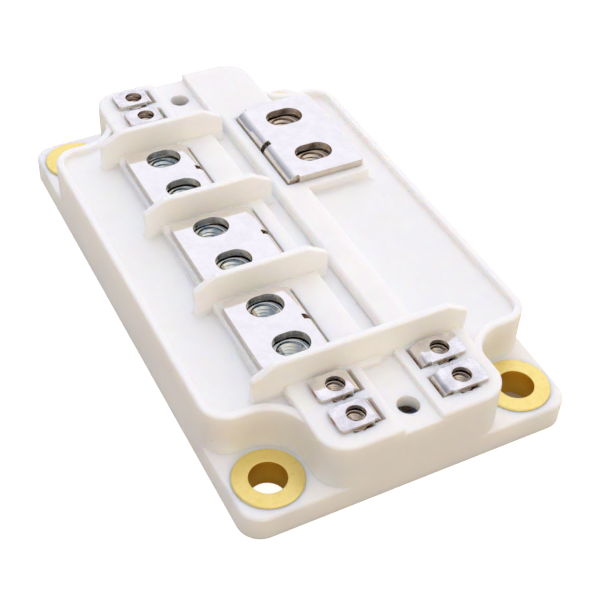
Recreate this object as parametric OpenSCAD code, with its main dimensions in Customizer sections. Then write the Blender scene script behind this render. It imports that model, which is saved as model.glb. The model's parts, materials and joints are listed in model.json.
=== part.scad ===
// Sealed power switching module with screw terminals, in the 62 mm format.
// A moulded cap carries four plate terminals and six control tabs, each folded over captive nuts.
// The cap is bonded onto a copper-clad ceramic base with the tracks, the chips and their bonds.
// Millimetres. Origin: centre of the mounting face. X runs along the ribs, Y along the length.

/* [Base] */

// Spacing of the mounting holes across the base
bolt_x = 48; // [44:0.5:54]
// Spacing of the mounting holes along the base
bolt_y = 93; // [84:0.5:106]
// Distance from a mounting hole to the long edge
edge_x = 7; // [6.6:0.1:9]
// Distance from a mounting hole to the short edge
edge_y = 7.3; // [6.8:0.1:9]
// Radius of the base's upright corners
base_corner_r = 4.2; // [3:0.1:6.5]
// Height of the corner flanges
flange_h = 5.2; // [4.6:0.1:7]

/* [Bushings] */

// Outer diameter of a brass bushing
bush_od = 12.1; // [11:0.1:12.4]
// Bore of a bushing, clearance for an M6 screw
bush_id = 6.4; // [5.4:0.1:7]
// How far a bushing stands proud of its flange
bush_proud = 0.35; // [0.1:0.05:0.6]
// Depth of the groove that locks a bushing in the moulding
bush_groove = 0.6; // [0.3:0.1:1]
// Gap between a bushing and the upright walls around it
notch_gap = 0.9; // [0.7:0.05:1.1]

/* [Cap] */

// Height of the rim around the top
rim_top = 14; // [13.4:0.1:15]
// Width of the rim
rim_w = 1.5; // [1.2:0.1:2]
// Depth of the top floor below the rim
floor_drop = 1.3; // [0.8:0.1:1.6]
// Corner radius of the recessed floor
pocket_r = 3.5; // [1:0.1:4]
// Radius of the four shoulders beside the bushings
shoulder_r = 5; // [2:0.1:5.5]
// Radius of the end towers' upright corners
tower_r = 5.2; // [2:0.1:5.4]
// Height of the terminal block and the tab towers above the rim
deck_rise = 0.8; // [0.4:0.1:1.2]
// Width of the channel between the two towers of an end
channel_w = 7; // [6.4:0.1:7.4]
// Depth of a channel's floor below the rim
channel_drop = 0.3; // [0.2:0.1:0.8]
// Diameter of the filling holes
fill_d = 3.9; // [3:0.1:4.4]
// Distance from the near filling hole to the near end
fill_near = 5.2; // [4.4:0.1:7]
// Distance from the far filling hole to the far end
fill_far = 7.2; // [4.4:0.1:9]
// Wall around the end towers' hollows
wall_t = 2.1; // [1.8:0.1:2.4]
// Thickness of the top floor
top_t = 2.2; // [1.8:0.1:2.6]

/* [Rib row] */

// Distance from the near wall to the rib that closes the row
row_near_gap = 1.95; // [1.6:0.05:3]
// Distance from the far wall to the row's last rib
row_far_gap = 6.65; // [5:0.05:9]
// Thickness of a rib
rib_t = 1.5; // [1.2:0.1:2]
// Height of the ribs above the terminal block
rib_rise = 5.6; // [4.4:0.1:8]
// Length of the sloped corner of a rib
rib_slope_w = 4.1; // [2:0.1:6]
// Height of the sloped corner of a rib
rib_slope_h = 2.3; // [1:0.1:3]
// How far the ribs reach past the block on the left
rib_over_left = 3.15; // [1:0.05:5]
// How far the first three ribs reach past the block on the right
rib_over_right = 2.3; // [1:0.1:4]
// How far the closing rib reaches past the tower on the right
rib_over_tower = 0.85; // [0.2:0.05:3]
// Left side of the terminal block
block_left = -19.55; // [-21:0.05:-19.4]
// Right side of the terminal block
block_right = 0.9; // [0.4:0.1:2.5]

/* [Output land] */

// Height of the strip, the pad and the plain tower above the rim
land_rise = 1.2; // [0.8:0.1:1.6]
// Left side of the raised strip
strip_left = 4.65; // [4.3:0.05:5]
// Width of the raised strip
strip_w = 5.8; // [5:0.1:7]
// Length of the pad under the wide terminal
pad_l = 29.2; // [28.6:0.1:32]
// Margin of the pad beyond the wide terminal's end
pad_margin = 0.2; // [0.1:0.05:1]
// Distance from the far wall to the plain tower's near side
plain_gap = 2.95; // [1:0.05:5]

/* [Plate terminals] */

// Thickness of the plate sheet
sheet_t = 1.5; // [1.2:0.1:1.6]
// Inner radius of the plates' bends
sheet_bend = 0.6; // [0.4:0.1:0.7]
// Margin of the block beyond the outer end of its plates
plate_inset = 0.5; // [0.4:0.05:1.4]
// Width of a plate in the row
plate_w = 17.6; // [16.8:0.1:18]
// Outer face of the legs of the two source plates
short_leg = -5.7; // [-5.9:0.05:-5.5]
// Outer face of the legs of the left drain plate
long_leg = -2.4; // [-2.6:0.1:-2]
// Radius of a plate's outer corners
plate_r = 1.3; // [0.6:0.1:2]
// Width of the slit that splits a plate's leg in two
slit_w = 1.3; // [0.8:0.1:1.8]
// Length of the slit inboard of the leg's face
slit_in = 1.75; // [1.4:0.05:2.4]
// Step from a plate's edge to its leg
leg_step = 0.7; // [0.4:0.1:1]
// X of the screw holes in the row
row_hole_x = -12.1; // [-12.2:0.05:-12]
// Spacing of the two screw holes of a plate in the row
row_hole_pitch = 10.05; // [9.8:0.05:10.2]
// Length of a screw hole in the row
row_hole_l = 6.7; // [5.8:0.1:7]
// Width of the plates' screw holes
hole_w = 5.35; // [5.2:0.05:5.6]
// Outer face of the wide terminal's legs
out_leg = 7.35; // [7.2:0.05:7.5]
// Outer end of the wide terminal
out_right = 23.95; // [23.3:0.05:24.1]
// Distance from the wide terminal to the plain tower
out_gap = 2.45; // [2:0.05:3]
// Width of the wide terminal
out_w = 25.1; // [24:0.1:25.4]
// X of the wide terminal's screw holes
out_hole_x = 15.65; // [15.2:0.05:16]
// Spacing of the wide terminal's screw holes
out_hole_pitch = 13.1; // [12:0.1:14]
// Shift of the wide terminal's screw holes from its middle, towards the far end
out_hole_shift = 0.3; // [-1:0.1:1]
// Length of the wide terminal's screw holes
out_hole_l = 7.6; // [6:0.1:8]

/* [Control tabs] */

// Thickness of the tab sheet
tab_t = 0.8; // [0.6:0.05:0.85]
// Inner radius of the tabs' bends
tab_bend = 0.75; // [0.4:0.05:0.8]
// Width of a tab
tab_w = 5.2; // [4.8:0.1:5.6]
// Distance of the legs' channel-side faces from the centre line
tab_leg = 5.8; // [5.7:0.05:5.85]
// Distance of the left tabs' holes from the centre line
left_hole_x = 9.45; // [9.45:0.05:9.8]
// Distance of the right tabs' holes from the centre line
right_hole_x = 10.4; // [9.6:0.1:11]
// Length of a tab beyond its hole
tab_reach = 4; // [3.2:0.1:4.6]
// Hole in a tab, clearance for an M3 screw
tab_hole_d = 3.35; // [3.2:0.05:3.8]
// Spacing of the two tabs of a tower
tab_pitch = 7; // [6.9:0.05:7.2]
// Distance from the middle of the near tabs to the near end
near_tabs = 9.35; // [9:0.05:10]
// Distance from the middle of the far tabs to the far end
far_tabs = 8.4; // [8:0.05:10]

/* [Nuts] */

// Width across the flats of the power nuts, size M5
nut5_af = 8; // [7:0.1:8]
// Height of the power nuts
nut5_h = 4; // [3:0.1:4.4]
// Radius of the power nuts' thread at its crests
nut5_r = 2.1; // [1.9:0.05:2.2]
// Width across the flats of the control nuts, size M3
nut3_af = 5.5; // [5:0.1:5.5]
// Height of the control nuts
nut3_h = 2.4; // [1.8:0.1:2.6]
// Radius of the control nuts' thread at its crests
nut3_r = 1.25; // [1.15:0.05:1.35]
// How far a nut lies below the sheet over it
nut_drop = 0.4; // [0.35:0.05:0.6]
// Play of a nut in its pocket, across the flats
nut_play = 0.2; // [0.1:0.05:0.2]

/* [Ceramic base] */

// Thickness of the cap's skirt around the ceramic plate
skirt_w = 2.1; // [1.6:0.1:3]
// Thickness of the ceramic plate
ceramic_t = 0.65; // [0.4:0.05:1]
// Thickness of the copper on both faces of the ceramic
copper_t = 0.3; // [0.2:0.05:0.4]
// Width of the ceramic's edge that the cap stands on
seat_w = 1.3; // [1:0.1:1.5]
// Side of a switching chip
chip_side = 6.4; // [5:0.1:6.4]
// Thickness of a chip with its solder
chip_t = 0.35; // [0.2:0.05:0.5]
// Gap between the chips of a row
chip_gap = 0.9; // [0.5:0.1:1.5]
// Width of a bonded source ribbon
ribbon_w = 1.3; // [0.8:0.1:1.4]
// Thickness of a bonded source ribbon
ribbon_t = 0.25; // [0.15:0.05:0.3]
// Diameter of the gate and control wires
wire_d = 0.3; // [0.2:0.05:0.4]

/* [Hidden] */

$fn = 28;

plastic = [0.95, 0.94, 0.92];
brass = [0.84, 0.68, 0.25];
nickel = [0.82, 0.82, 0.84];
zinc = [0.62, 0.66, 0.7];
copper = [0.78, 0.47, 0.32];
ceramic_white = [0.9, 0.89, 0.86];
silicon = [0.3, 0.31, 0.36];
aluminium = [0.8, 0.81, 0.83];

// Play between a leg and its slot: inside, at the wider outer side, and in all along Y
slot_play = 0.15;
plate_slot_gap = 0.4;
tab_slot_gap = 0.55;
slot_end = 0.5;

body_w = bolt_x + 2 * edge_x;
body_l = bolt_y + 2 * edge_y;
half_l = body_l / 2;
notch_r = bush_od / 2 + notch_gap;
tower_x = bolt_x / 2 - notch_r;
wall_y = bolt_y / 2 - notch_r;
channel_x = channel_w / 2;
bush_chamfer = 0.25;
bush_mouth = 0.4;

floor_z = rim_top - floor_drop;
deck_z = rim_top + deck_rise;
channel_z = rim_top - channel_drop;
land_z = rim_top + land_rise;
rib_z = deck_z + rib_rise;

// The row of three bays between four ribs
row_near = row_near_gap - wall_y;
row_far = wall_y - row_far_gap;
bay_pitch = (row_far - row_near - rib_t) / 3;
bay_mid_y = (row_far + row_near) / 2;
function rib_y(i) = bay_mid_y + (1.5 - i) * bay_pitch;
function bay_y(i) = bay_mid_y + (1 - i) * bay_pitch;
plate_left = block_left + plate_inset;
leg_half = plate_w / 2 - leg_step;
step_w = 4.2;
step_l = 1.2;

// The wide terminal's land
strip_right = strip_left + strip_w;
pad_right = out_right + pad_margin;
plain_near = wall_y - plain_gap;
pad_near = plain_near - pad_l;
out_mid_y = plain_near - out_gap - out_w / 2;

// The towers
near_tabs_y = near_tabs - half_l;
far_tabs_y = half_l - far_tabs;
tab_step = 0.3;
tab_r = 0.8;

// Levels inside: top of the ceramic, of the tracks, of the chips, and the ledges in the towers
ceramic_w = body_w - 2 * skirt_w;
ceramic_l = 2 * (wall_y - skirt_w);
glue_gap = 0.1;
ceramic_z = copper_t + ceramic_t;
track_z = ceramic_z + copper_t;
chip_z = track_z + chip_t;
ledge_drop = 0.6;
ledge_z = flange_h - ledge_drop;
hollow_x = ceramic_w / 2 - seat_w;
hollow_y = ceramic_l / 2 - seat_w;
hollow_z = floor_z - top_t;

// Seats of the nuts, the bosses below them and the blind holes for the screws' tips
row_seat_z = deck_z - nut_drop - nut5_h;
out_seat_z = land_z - nut_drop - nut5_h;
tab_seat_z = deck_z - nut_drop - nut3_h;
seat_t = 1.8;
boss5_r = 4.2;
boss5_drop = 3.4;
boss3_r = 2.4;
boss3_drop = 2.6;
boss_floor = 1.2;
tip5_r = 2.8;
tip3_r = 1.7;
relief_w = 3.7;
relief_l = 6.1;

// Tracks: edges on the ceramic, with one gap between any two of them
track_gap = 1;
track_edge = 1;
track_x = hollow_x - track_edge;
track_far = hollow_y - track_edge;
feed_w = 0.8;
track_near = feed_w + track_gap - track_far;
gate_w = 1.4;
gate_gap = 0.8;
drain_left_x = -11.4;
tongue_margin = 0.6;
tongue_x = long_leg + 2 * tongue_margin;
tongue_far = bay_y(1) + leg_half + tongue_margin;
tongue_near = bay_y(1) - leg_half - tongue_margin;
source_x = 5.2;
drain_right_x = source_x + track_gap;
gate_right_x = (drain_right_x + track_x) / 2;
slot_right_x = gate_w / 2 + gate_gap;
pad_w = 3.4;
pads_l = 2.8;
pads_y = track_far - pads_l;
row_foot = 2.2;
out_foot = 3;

// Chips: as many as fit beside each source track, one column on the left and two on the right
chip_pitch = chip_side + chip_gap;
function chip_rows(y0, y1) =
  let (n = floor((y1 - y0 + chip_gap) / chip_pitch))
  [for (i = [0:n - 1]) (y0 + y1) / 2 + (i - (n - 1) / 2) * chip_pitch];
far_rows = chip_rows(tongue_far + track_gap, pads_y - track_gap);
near_rows = chip_rows(track_near, tongue_near - track_gap);
left_chip_x = (gate_w + track_gap - track_x + drain_left_x) / 2;
right_chip_x = [
  (drain_right_x + gate_right_x - slot_right_x) / 2,
  (track_x + gate_right_x + slot_right_x) / 2
];

// Bonds: rise of the arcs, size of the feet, and their places on a chip
ribbon_rise = 1.7;
ribbon_foot_l = 1.2;
ribbon_foot_h = 0.5;
ribbon_side = 1.6;
ribbon_in = 1.1;
wire_rise = 0.8;
wire_rise_long = 2.2;
wire_foot_l = 0.7;
wire_foot_w = 0.5;
wire_foot_h = 0.4;
wire_side = 0.4;
wire_in = 0.9;

// Control leads: length of the feet on the ledges, and X of the two kinds of bond
tab_foot_out = 4.9;
tab_foot_in = 2.7;
bond_inset = 0.7;
bond_out_x = tab_leg - tab_foot_out + bond_inset;
bond_in_x = tab_leg + tab_t + tab_bend + tab_foot_in / 2;
lead_inset = 2.4;
lead_end_y = hollow_y + lead_inset;
pad_a_x = -bond_in_x;
pad_b_x = -bond_out_x - pad_w / 3;
sensor_lap = 0.9;
sensor_w = 1.2;
sensor_h = 0.9;

// Box between two corners
module box(x0, x1, y0, y1, z0, z1) {
  translate([x0, y0, z0])
    cube([x1 - x0, y1 - y0, z1 - z0]);
}

// Rectangle about the origin with round corners
module rounded(w, l, r) {
  square([w - 2 * r, l], center = true);
  square([w, l - 2 * r], center = true);
  for (x = [-1, 1], y = [-1, 1])
    translate([x * (w / 2 - r), y * (l / 2 - r)])
      circle(r);
}

// Round-ended hole along X
module obround(l, w) {
  square([l - w, w], center = true);
  for (x = [-1, 1])
    translate([x * (l - w) / 2, 0])
      circle(w / 2);
}

// Hexagon with flats facing X
module hexagon(af) {
  rotate(30)
    circle(af / sqrt(3), $fn = 6);
}

// Quarter of a bent sheet's section, in the quadrant given by two signs
module bend_section(inner, t, sx, sy) {
  intersection() {
    difference() {
      circle(inner + t);
      circle(inner);
    }
    translate([sx > 0 ? 0 : -9, sy > 0 ? 0 : -9])
      square(9);
  }
}

// Extrudes an X-Z section along Y, centred
module along_y(w) {
  rotate([90, 0, 0])
    linear_extrude(w, center = true)
      children();
}

// Outline of the cap above the flanges: long walls, end towers and a round notch at each bushing
module cap_outline() {
  rounded(body_w, 2 * wall_y, shoulder_r);
  rounded(2 * tower_x, body_l, tower_r);
  difference() {
    square([bolt_x, bolt_y], center = true);
    for (x = [-1, 1], y = [-1, 1])
      translate([x * bolt_x / 2, y * bolt_y / 2])
        circle(notch_r);
    for (y = [-1, 1])
      translate([0, y * bolt_y / 2])
        square([2 * tower_x - 2, 2], center = true);
  }
}

// Outline of the recess inside the rim, which keeps its width around the notches
module pocket_outline() {
  inner_r = notch_r + rim_w;
  inner_y = bolt_y / 2 - sqrt(inner_r * inner_r - notch_r * notch_r);
  rounded(body_w - 2 * rim_w, 2 * (wall_y - rim_w), pocket_r);
  difference() {
    square([bolt_x, 2 * inner_y], center = true);
    square([2 * tower_x - 1, body_l], center = true);
    for (x = [-1, 1], y = [-1, 1])
      translate([x * bolt_x / 2, y * bolt_y / 2])
        circle(inner_r);
  }
}

// Part of the cap's outline between two X and two Y, raised to a level
module raised(x0, x1, y0, y1, z) {
  linear_extrude(z)
    intersection() {
      cap_outline();
      translate([x0, y0])
        square([x1 - x0, y1 - y0]);
    }
}

// One rib: a thin wall with sloped top corners
module rib(i, right) {
  left = block_left - rib_over_left;
  translate([0, rib_y(i), 0])
    along_y(rib_t)
      polygon([
        [left, floor_z - 1],
        [right, floor_z - 1],
        [right, rib_z - rib_slope_h],
        [right - rib_slope_w, rib_z],
        [left + rib_slope_w, rib_z],
        [left, rib_z - rib_slope_h]
      ]);
}

// The cap's outside, before it is hollowed
module cap_body() {
  difference() {
    union() {
      linear_extrude(flange_h)
        rounded(body_w, body_l, base_corner_r);
      difference() {
        linear_extrude(rim_top)
          cap_outline();
        translate([0, 0, floor_z])
          linear_extrude(rim_top)
            pocket_outline();
      }
      // Terminal block, strip and pad
      box(block_left, block_right, row_near, row_far, floor_z - 1, deck_z);
      box(strip_left, strip_right, row_near, plain_near + 1, floor_z - 1, land_z);
      box(strip_left, pad_right, pad_near, plain_near, floor_z - 1, land_z);
      // Towers: two with tabs at the near end, one with tabs and a plain one at the far end
      raised(-tower_x, -channel_x, -half_l, row_near, deck_z);
      raised(channel_x, tower_x, -half_l, row_near, deck_z);
      raised(-tower_x, -channel_x, row_far, half_l, deck_z);
      raised(channel_x, tower_x, plain_near, half_l, land_z);
      // Floors of the end channels where they run over the recess
      box(-channel_x - 1, channel_x + 1, row_near - 3, row_near + 0.5, floor_z - 1, channel_z);
      box(-channel_x - 1, channel_x, row_far, row_far + 7, floor_z - 1, channel_z);
    }
    box(-channel_x, channel_x, -half_l - 1, row_near, channel_z, rib_z);
    box(-channel_x, channel_x, row_far, half_l + 1, channel_z, rib_z);
  }
  for (i = [0:2])
    rib(i, block_right + rib_over_right);
  rib(3, tower_x + rib_over_tower);
  // Small ledge in the near channel against the closing rib
  box(-channel_x - 0.5, step_w - channel_x, row_near - step_l, row_near + 0.5, floor_z, deck_z);
}

// The hollow under the cap, open below, with thicker roofs under the two rows of power nuts
module cap_hollow() {
  seat_x = ceramic_w / 2 + glue_gap;
  seat_y = ceramic_l / 2 + glue_gap;
  box(-seat_x, seat_x, -seat_y, seat_y, -1, ceramic_z);
  difference() {
    box(-hollow_x, hollow_x, -hollow_y, hollow_y, 0, hollow_z);
    box(block_left, block_right, -half_l, half_l, row_seat_z - seat_t, deck_z);
    box(strip_right, pad_right, pad_near, half_l, out_seat_z - seat_t, land_z);
  }
  box(-tower_x + wall_t, tower_x - wall_t, -half_l + wall_t, -hollow_y + 1, ledge_z, hollow_z);
  box(-tower_x + wall_t, tower_x - wall_t, hollow_y - 1, half_l - wall_t, ledge_z, hollow_z);
}

// Places a child at every power nut of the row, of the wide terminal and of the tabs
module at_row_nuts() {
  for (i = [0:2], s = [-1, 1])
    translate([row_hole_x, bay_y(i) + s * row_hole_pitch / 2, row_seat_z])
      children();
}

module at_output_nuts() {
  for (s = [-1, 1])
    translate([out_hole_x, out_mid_y + out_hole_shift + s * out_hole_pitch / 2, out_seat_z])
      children();
}

module at_control_nuts() {
  for (s = [-1, 1]) {
    translate([-left_hole_x, near_tabs_y + s * tab_pitch / 2, tab_seat_z])
      children();
    translate([right_hole_x, near_tabs_y + s * tab_pitch / 2, tab_seat_z])
      children();
    translate([-left_hole_x, far_tabs_y + s * tab_pitch / 2, tab_seat_z])
      children();
  }
}

// Round boss below a nut's seat, for the screw's tip
module boss(r, drop) {
  translate([0, 0, -seat_t - drop])
    cylinder(drop + 0.5, r = r);
}

// Hexagonal pocket with the blind hole for the screw's tip below it
module nut_pocket(af, tip_r, tip_drop) {
  linear_extrude(9)
    hexagon(af + nut_play);
  translate([0, 0, -tip_drop])
    cylinder(tip_drop + 1, r = tip_r);
}

// Slot for a folded leg whose outer face is x = 0, with room for the inside of the bend at its top
module leg_slot(t, inner, gap, l, z0, top) {
  box(-t - slot_play, gap, -l / 2, l / 2, z0, top + 1);
  box(-t - inner - slot_play, 0, -l / 2, l / 2, top - inner - slot_play, top + 1);
}

module tab_slots(side, mid_y) {
  for (s = [-1, 1])
    translate([side * tab_leg, mid_y + s * tab_pitch / 2, 0])
      scale([-side, 1, 1])
        leg_slot(tab_t, tab_bend, tab_slot_gap, tab_w - 2 * tab_step + slot_end, hollow_z - 1, deck_z);
}

module housing() {
  color(plastic)
    difference() {
      union() {
        difference() {
          cap_body();
          cap_hollow();
        }
        at_row_nuts()
          boss(boss5_r, boss5_drop);
        at_output_nuts()
          boss(boss5_r, boss5_drop);
        at_control_nuts()
          boss(boss3_r, boss3_drop);
      }
      at_row_nuts()
        nut_pocket(nut5_af, tip5_r, seat_t + boss5_drop - boss_floor);
      at_output_nuts()
        nut_pocket(nut5_af, tip5_r, seat_t + boss5_drop - boss_floor);
      at_control_nuts() {
        nut_pocket(nut3_af, tip3_r, seat_t + boss3_drop - boss_floor);
        // Relief that lets a nut be pushed out from beside its tab
        translate([-relief_w / 2, -relief_l / 2, 0])
          cube([relief_w, relief_l, 9]);
      }
      for (i = [0:2])
        translate([i == 1 ? long_leg : short_leg, bay_y(i), 0])
          leg_slot(sheet_t, sheet_bend, plate_slot_gap, 2 * leg_half + slot_end, hollow_z - 4, deck_z);
      translate([out_leg, out_mid_y, 0])
        mirror([1, 0, 0])
          leg_slot(
            sheet_t, sheet_bend, plate_slot_gap,
            out_w - 2 * leg_step + 2 * slot_end, hollow_z - 1, land_z
          );
      tab_slots(-1, near_tabs_y);
      tab_slots(1, near_tabs_y);
      tab_slots(-1, far_tabs_y);
      for (y = [fill_near - half_l, half_l - fill_far])
        translate([0, y, hollow_z - 1])
          cylinder(9, d = fill_d);
      for (x = [-1, 1], y = [-1, 1])
        at_bushing(x, y)
          bushing_form();
    }
}

// Bushings

module at_bushing(x, y) {
  translate([x * bolt_x / 2, y * bolt_y / 2, 0])
    children();
}

// Outside of a bushing: a sleeve with a locking groove and a broken top edge
module bushing_form() {
  r = bush_od / 2;
  h = flange_h + bush_proud;
  rotate_extrude()
    polygon([
      [0, 0],
      [r, 0],
      [r, flange_h * 0.3],
      [r - bush_groove, flange_h * 0.3 + 0.3],
      [r - bush_groove, flange_h * 0.65],
      [r, flange_h * 0.65 + 0.3],
      [r, h - bush_chamfer],
      [r - bush_chamfer, h],
      [0, h]
    ]);
}

module bushing(x, y) {
  color(brass)
    at_bushing(x, y)
      difference() {
        bushing_form();
        translate([0, 0, -1])
          cylinder(flange_h + 4, d = bush_id);
        translate([0, 0, flange_h + bush_proud - bush_mouth])
          cylinder(2 * bush_mouth, d1 = bush_id, d2 = bush_id + 4 * bush_mouth);
      }
}

module bushing_near_left() {
  bushing(-1, -1);
}

module bushing_near_right() {
  bushing(1, -1);
}

module bushing_far_left() {
  bushing(-1, 1);
}

module bushing_far_right() {
  bushing(1, 1);
}

// Folded terminals. In their own frame the leg's outer face is x = 0 and the plate runs to -X.

// Section of the plate and its bend; z is the underside of the plate
module fold_section(reach, t, inner, z) {
  translate([-reach, z])
    square([reach - inner - t, t]);
  translate([-inner - t, z - inner])
    bend_section(inner, t, 1, 1);
}

// Section of the leg and its foot; the foot runs outwards (dir 1) or back under the plate (dir -1)
module leg_section(t, inner, z, foot_z, dir, foot) {
  foot_top = foot_z + t + inner;
  translate([-t, foot_top])
    square([t, z - inner - foot_top]);
  translate([dir > 0 ? inner : -t - inner, foot_top])
    bend_section(inner, t, -dir, -1);
  translate([dir > 0 ? inner : -t - inner - foot, foot_z])
    square([foot, t]);
}

// Plate with two screw holes, whose leg is split in two by a slit
module plate_terminal(reach, w, z, dir, foot, hole_in, hole_pitch, hole_l, hole_shift) {
  leg_w = (w - 2 * leg_step - slit_w) / 2;
  difference() {
    intersection() {
      along_y(w)
        fold_section(reach, sheet_t, sheet_bend, z);
      translate([0, 0, z - 5])
        linear_extrude(10) {
          translate([-reach / 2 - 1, 0])
            rounded(reach - 2, w, plate_r);
          translate([-sheet_t - sheet_bend - 2, -w / 2])
            square([2, w]);
          translate([-4, leg_step - w / 2])
            square([6, w - 2 * leg_step]);
        }
    }
    translate([-slit_in, -slit_w / 2, z - 5])
      cube([9, slit_w, 10]);
    for (s = [-1, 1])
      translate([-hole_in, hole_shift + s * hole_pitch / 2, z - 1])
        linear_extrude(5)
          obround(hole_l, hole_w);
  }
  for (s = [-1, 1])
    translate([0, s * (slit_w + leg_w) / 2, 0])
      along_y(leg_w)
        leg_section(sheet_t, sheet_bend, z, track_z, dir, foot);
}

module row_plate(i, leg, dir) {
  color(nickel)
    translate([leg, bay_y(i), 0])
      plate_terminal(
        leg - plate_left, plate_w, deck_z, dir, row_foot,
        leg - row_hole_x, row_hole_pitch, row_hole_l, 0
      );
}

module source_plate_far() {
  row_plate(0, short_leg, 1);
}

module drain_plate_left() {
  row_plate(1, long_leg, -1);
}

module source_plate_near() {
  row_plate(2, short_leg, 1);
}

module drain_plate_right() {
  color(nickel)
    translate([out_leg, out_mid_y, 0])
      mirror([1, 0, 0])
        plate_terminal(
          out_right - out_leg, out_w, land_z, -1, out_foot,
          out_hole_x - out_leg, out_hole_pitch, out_hole_l, out_hole_shift
        );
}

// Control tab on the left (side -1) or right; its foot lies on the ledge in the tower.
// A lead that turns back under the tab runs on along Y (run) to the end of the ledge.
module control_tab(side, y, hole_x, dir, run) {
  reach = hole_x - tab_leg + tab_reach;
  leg_w = tab_w - 2 * tab_step;
  color(nickel)
    translate([side * tab_leg, y, 0])
      scale([-side, 1, 1]) {
        difference() {
          intersection() {
            along_y(tab_w)
              fold_section(reach, tab_t, tab_bend, deck_z);
            translate([0, 0, deck_z - 4])
              linear_extrude(8) {
                translate([-reach / 2 - 0.6, 0])
                  rounded(reach - 1.2, tab_w, tab_r);
                translate([-tab_t - tab_bend - 1.4, -tab_w / 2])
                  square([1.4, tab_w]);
                translate([-3, -leg_w / 2])
                  square([5, leg_w]);
              }
          }
          translate([tab_leg - hole_x, 0, deck_z - 1])
            cylinder(4, d = tab_hole_d);
        }
        along_y(leg_w)
          leg_section(tab_t, tab_bend, deck_z, ledge_z, dir, dir > 0 ? tab_foot_out : tab_foot_in);
        if (dir < 0)
          translate([-tab_t - tab_bend - tab_foot_in, min(0, run), ledge_z])
            cube([tab_foot_in, abs(run), tab_t]);
      }
}

// Outer tabs of a tower turn back and run inwards, inner tabs turn towards the channel
module outer_tab(side, mid_y, hole_x) {
  end = mid_y > 0 ? 1 : -1;
  y = mid_y + end * tab_pitch / 2;
  control_tab(side, y, hole_x, -1, end * lead_end_y - y);
}

module inner_tab(side, mid_y, hole_x) {
  end = mid_y > 0 ? 1 : -1;
  control_tab(side, mid_y - end * tab_pitch / 2, hole_x, 1, 0);
}

module gate_tab_left() {
  outer_tab(-1, near_tabs_y, left_hole_x);
}

module sense_tab_left() {
  inner_tab(-1, near_tabs_y, left_hole_x);
}

module gate_tab_right() {
  outer_tab(1, near_tabs_y, right_hole_x);
}

module sense_tab_right() {
  inner_tab(1, near_tabs_y, right_hole_x);
}

module thermistor_tab_a() {
  outer_tab(-1, far_tabs_y, left_hole_x);
}

module thermistor_tab_b() {
  inner_tab(-1, far_tabs_y, left_hole_x);
}

// Hexagonal nut with a countersunk mouth, standing on z = 0
module nut(af, h, r) {
  difference() {
    linear_extrude(h)
      hexagon(af);
    translate([0, 0, -1])
      cylinder(h + 2, r = r, $fn = 24);
    translate([0, 0, h - r * 0.25])
      cylinder(r * 0.3, r1 = r, r2 = r * 1.3, $fn = 24);
  }
}

module row_nuts() {
  color(zinc)
    at_row_nuts()
      nut(nut5_af, nut5_h, nut5_r);
}

module output_nuts() {
  color(nickel)
    at_output_nuts()
      nut(nut5_af, nut5_h, nut5_r);
}

module control_nuts() {
  color(zinc)
    at_control_nuts()
      nut(nut3_af, nut3_h, nut3_r);
}

// Ceramic base

module ceramic_plate() {
  color(ceramic_white)
    box(-ceramic_w / 2, ceramic_w / 2, -ceramic_l / 2, ceramic_l / 2, copper_t, ceramic_z);
}

module base_copper() {
  color(copper)
    box(-hollow_x, hollow_x, -hollow_y, hollow_y, 0, copper_t);
}

// Track on top of the ceramic between two X and two Y
module track(x0, x1, y0, y1) {
  box(x0, x1, y0, y1, ceramic_z, track_z);
}

module drain_track_left() {
  color(copper) {
    track(-track_x + gate_w + track_gap, drain_left_x, track_near, track_far);
    track(drain_left_x - 1, tongue_x, tongue_near, tongue_far);
  }
}

module drain_track_right() {
  color(copper)
    difference() {
      track(drain_right_x, track_x, track_near, track_far);
      box(
        gate_right_x - slot_right_x, gate_right_x + slot_right_x,
        -half_l, tongue_near + track_gap, 0, deck_z
      );
    }
}

module source_track_far() {
  color(copper)
    track(drain_left_x + track_gap, source_x, tongue_far + track_gap, pads_y - track_gap);
}

module source_track_near() {
  color(copper)
    track(drain_left_x + track_gap, source_x, track_near, tongue_near - track_gap);
}

module gate_track_left() {
  color(copper) {
    track(-track_x, gate_w - track_x, -track_far, track_far);
    track(-track_x, pad_w / 2 - bond_in_x, -track_far, feed_w - track_far);
  }
}

module gate_track_right() {
  color(copper) {
    track(gate_right_x - gate_w / 2, gate_right_x + gate_w / 2, -track_far, tongue_near);
    track(bond_in_x - pad_w / 2, gate_right_x, -track_far, feed_w - track_far);
  }
}

module thermistor_pads() {
  color(copper)
    for (x = [pad_a_x, pad_b_x])
      track(x - pad_w / 2, x + pad_w / 2, pads_y, track_far);
}

// Temperature sensor across its two pads
module thermistor() {
  color(silicon)
    box(
      pad_a_x + pad_w / 2 - sensor_lap, pad_b_x - pad_w / 2 + sensor_lap,
      pads_y, pads_y + sensor_w, track_z, track_z + sensor_h
    );
}

module chip(x, y) {
  translate([x, y, track_z + chip_t / 2])
    cube([chip_side, chip_side, chip_t], center = true);
}

// Places a child at each chip of a column
module at_left_chips() {
  for (y = concat(far_rows, near_rows))
    translate([left_chip_x, y, 0])
      children();
}

module at_right_chips() {
  for (y = near_rows)
    translate([0, y, 0])
      children();
}

module chips_left() {
  color(silicon)
    at_left_chips()
      chip(0, 0);
}

module chips_right() {
  color(silicon)
    at_right_chips() {
      chip(right_chip_x[0], 0);
      chip(right_chip_x[1], 0);
    }
}

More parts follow.
